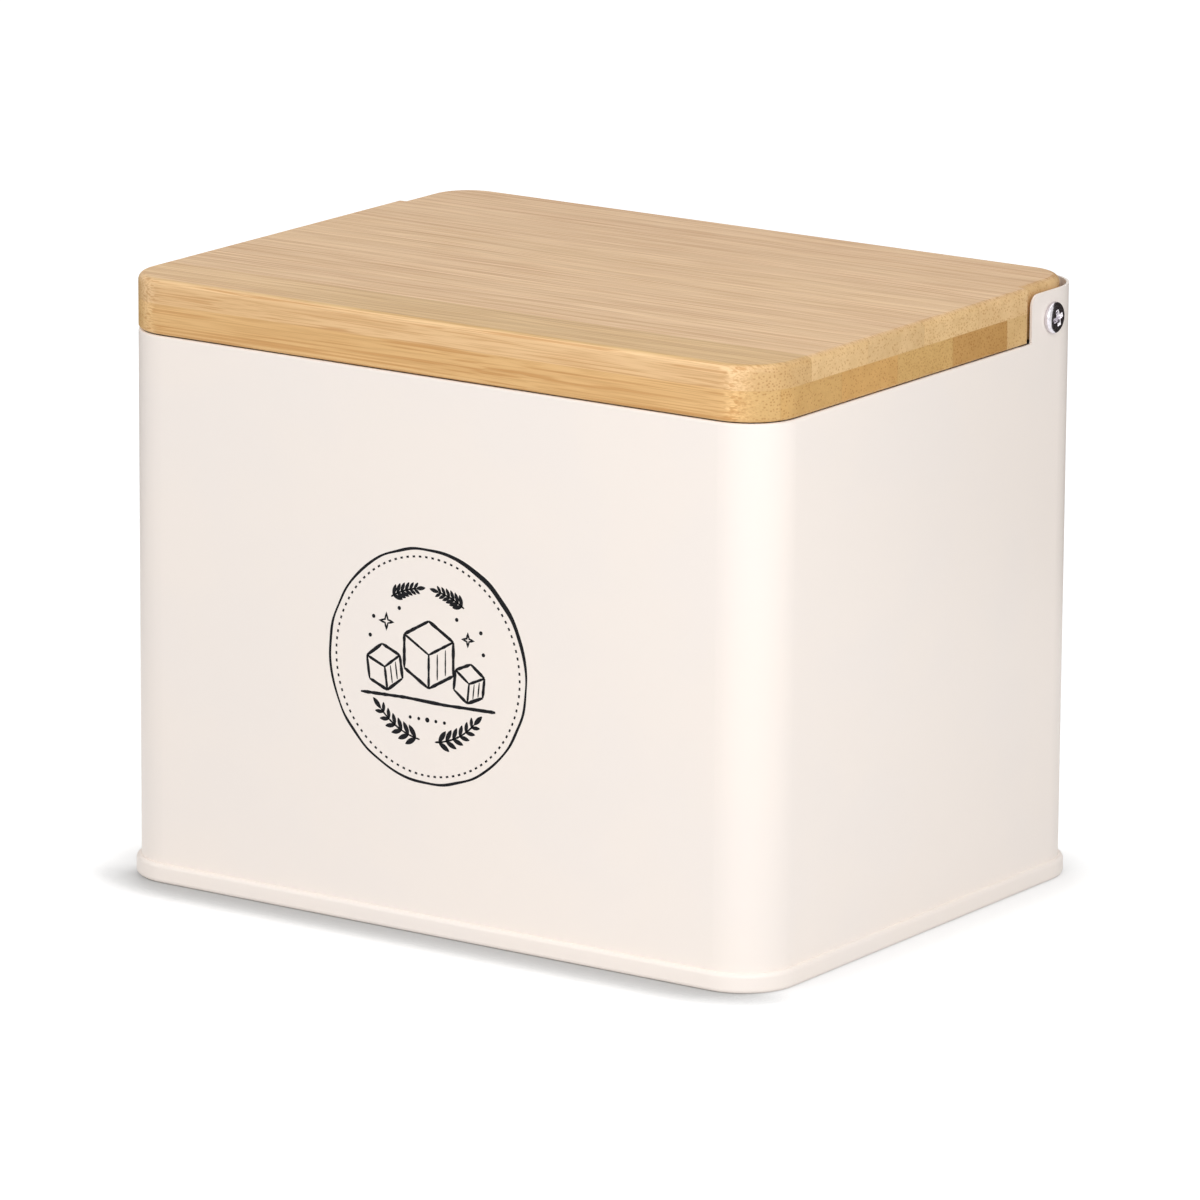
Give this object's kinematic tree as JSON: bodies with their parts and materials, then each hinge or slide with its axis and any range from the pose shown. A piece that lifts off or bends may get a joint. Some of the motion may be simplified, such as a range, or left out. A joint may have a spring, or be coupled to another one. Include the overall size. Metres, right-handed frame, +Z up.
{
  "type": "salt box with hinged lid",
  "caption": "Sheet-metal kitchen storage box with rounded corners, a rolled seam at its base, and a two-ply bamboo lid that turns on screws through raised ears at the back.",
  "frame": {"origin": "centre of the base, on the surface that the box stands on", "axes": "+X to the right as seen from the front, +Y from the front to the hinged back, +Z up"},
  "size_m": [0.1542, 0.116, 0.12],
  "materials": {
    "enamel": "semi-gloss powder coat, warm off-white",
    "bamboo_light": "satin lacquered bamboo, light ply",
    "bamboo_dark": "satin lacquered bamboo, darker ply",
    "screw_steel": "bright nickel-plated steel",
    "nylon": "natural nylon"
  },
  "bodies": {
    "box": {"body_wall": "enamel", "base_plate": "enamel"},
    "lid": {"top_stave_1": "bamboo_light", "top_stave_2": "bamboo_light", "top_stave_3": "bamboo_light", "top_stave_4": "bamboo_light", "top_stave_5": "bamboo_light", "top_stave_6": "bamboo_light", "under_stave_1": "bamboo_dark", "under_stave_2": "bamboo_dark", "under_stave_3": "bamboo_dark", "under_stave_4": "bamboo_dark", "under_stave_5": "bamboo_dark", "under_stave_6": "bamboo_dark", "under_stave_7": "bamboo_dark", "pivot_screw_right": "screw_steel", "pivot_screw_left": "screw_steel", "hinge_washer_right": "nylon", "hinge_washer_left": "nylon"}
  },
  "joints": [
    {"name": "lid_hinge", "type": "hinge", "parent": "box", "child": "lid", "pos_m": [0, 0.0435, 0.113], "axis": [-1, 0, 0], "range_deg": [0, 100]}
  ]
}
